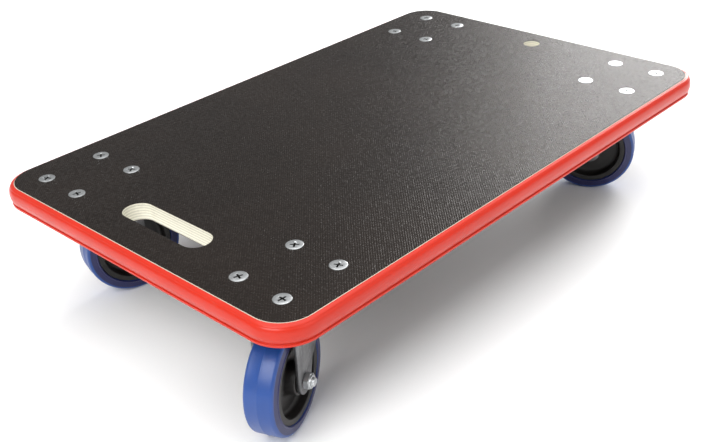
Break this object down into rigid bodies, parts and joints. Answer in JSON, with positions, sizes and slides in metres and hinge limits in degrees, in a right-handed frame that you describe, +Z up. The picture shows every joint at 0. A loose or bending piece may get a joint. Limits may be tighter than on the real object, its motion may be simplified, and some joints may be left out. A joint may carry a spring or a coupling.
{
  "type": "transport dolly",
  "caption": "Flat transport dolly: film-faced plywood deck with hand hole, round rope hole and soft red edge strip, on swivel castors with elastic blue tyres.",
  "frame": {"origin": "on the floor, under the middle of the deck", "axes": "+X along the deck from the hand-hole end to the rope-hole end, +Y across the deck, +Z up"},
  "size_m": [0.6668, 0.4108, 0.1363],
  "materials": {
    "plywood": "raw plywood with visible plies at cut edges",
    "anti_slip_film": "phenolic film with a fine woven wire-mesh imprint, semi-matt",
    "smooth_film": "smooth dark brown phenolic film",
    "red_rubber": "glossy soft red-orange rubber",
    "zinc_plate": "zinc-plated pressed steel",
    "zinc_fork": "zinc-plated pressed steel, dull",
    "zinc_bolt": "zinc-plated bolts and nuts",
    "bearing_steel": "hardened polished steel",
    "steel_tube": "turned steel",
    "blue_tyre": "blue elastic rubber",
    "black_nylon": "moulded black nylon",
    "cage_and_rollers": "bearing cage and rollers"
  },
  "bodies": {
    "deck": {"deck_board": "plywood", "top_film": "anti_slip_film", "underside_film": "smooth_film", "edge_strip": "red_rubber", "front_left_mounting_plate": "zinc_plate", "front_left_kingpin": "zinc_bolt", "front_left_race_cup": "zinc_plate", "front_left_deck_bolts": "zinc_bolt", "front_left_deck_nuts": "zinc_bolt", "front_right_mounting_plate": "zinc_plate", "front_right_kingpin": "zinc_bolt", "front_right_race_cup": "zinc_plate", "front_right_deck_bolts": "zinc_bolt", "front_right_deck_nuts": "zinc_bolt", "rear_left_mounting_plate": "zinc_plate", "rear_left_kingpin": "zinc_bolt", "rear_left_race_cup": "zinc_plate", "rear_left_deck_bolts": "zinc_bolt", "rear_left_deck_nuts": "zinc_bolt", "rear_right_mounting_plate": "zinc_plate", "rear_right_kingpin": "zinc_bolt", "rear_right_race_cup": "zinc_plate", "rear_right_deck_bolts": "zinc_bolt", "rear_right_deck_nuts": "zinc_bolt"},
    "swivel_front_left": {"front_left_fork": "zinc_fork", "front_left_swivel_balls": "bearing_steel", "front_left_axle_bolt": "zinc_bolt", "front_left_axle_nut": "zinc_bolt", "front_left_axle_sleeve": "steel_tube"},
    "wheel_front_left": {"front_left_tyre": "blue_tyre", "front_left_wheel_core": "black_nylon", "front_left_roller_bearing": "cage_and_rollers"},
    "swivel_front_right": {"front_right_fork": "zinc_fork", "front_right_swivel_balls": "bearing_steel", "front_right_axle_bolt": "zinc_bolt", "front_right_axle_nut": "zinc_bolt", "front_right_axle_sleeve": "steel_tube"},
    "wheel_front_right": {"front_right_tyre": "blue_tyre", "front_right_wheel_core": "black_nylon", "front_right_roller_bearing": "cage_and_rollers"},
    "swivel_rear_left": {"rear_left_fork": "zinc_fork", "rear_left_swivel_balls": "bearing_steel", "rear_left_axle_bolt": "zinc_bolt", "rear_left_axle_nut": "zinc_bolt", "rear_left_axle_sleeve": "steel_tube"},
    "wheel_rear_left": {"rear_left_tyre": "blue_tyre", "rear_left_wheel_core": "black_nylon", "rear_left_roller_bearing": "cage_and_rollers"},
    "swivel_rear_right": {"rear_right_fork": "zinc_fork", "rear_right_swivel_balls": "bearing_steel", "rear_right_axle_bolt": "zinc_bolt", "rear_right_axle_nut": "zinc_bolt", "rear_right_axle_sleeve": "steel_tube"},
    "wheel_rear_right": {"rear_right_tyre": "blue_tyre", "rear_right_wheel_core": "black_nylon", "rear_right_roller_bearing": "cage_and_rollers"}
  },
  "joints": [
    {"name": "swivel_front_left_turn", "type": "hinge", "parent": "deck", "child": "swivel_front_left", "pos_m": [-0.257, -0.141, 0.11], "axis": [0, 0, 1], "continuous": true},
    {"name": "wheel_front_left_spin", "type": "hinge", "parent": "swivel_front_left", "child": "wheel_front_left", "pos_m": [-0.28296, -0.15149, 0.05], "axis": [0.3746, -0.9272, 0], "continuous": true},
    {"name": "swivel_front_right_turn", "type": "hinge", "parent": "deck", "child": "swivel_front_right", "pos_m": [-0.257, 0.141, 0.11], "axis": [0, 0, 1], "continuous": true},
    {"name": "wheel_front_right_spin", "type": "hinge", "parent": "swivel_front_right", "child": "wheel_front_right", "pos_m": [-0.22983, 0.13423, 0.05], "axis": [0.2419, 0.9703, 0], "continuous": true},
    {"name": "swivel_rear_left_turn", "type": "hinge", "parent": "deck", "child": "swivel_rear_left", "pos_m": [0.257, -0.141, 0.11], "axis": [0, 0, 1], "continuous": true},
    {"name": "wheel_rear_left_spin", "type": "hinge", "parent": "swivel_rear_left", "child": "wheel_rear_left", "pos_m": [0.24429, -0.11605, 0.05], "axis": [-0.891, -0.454, 0], "continuous": true},
    {"name": "swivel_rear_right_turn", "type": "hinge", "parent": "deck", "child": "swivel_rear_right", "pos_m": [0.257, 0.141, 0.11], "axis": [0, 0, 1], "continuous": true},
    {"name": "wheel_rear_right_spin", "type": "hinge", "parent": "swivel_rear_right", "child": "wheel_rear_right", "pos_m": [0.28296, 0.13051, 0.05], "axis": [0.3746, 0.9272, 0], "continuous": true}
  ]
}
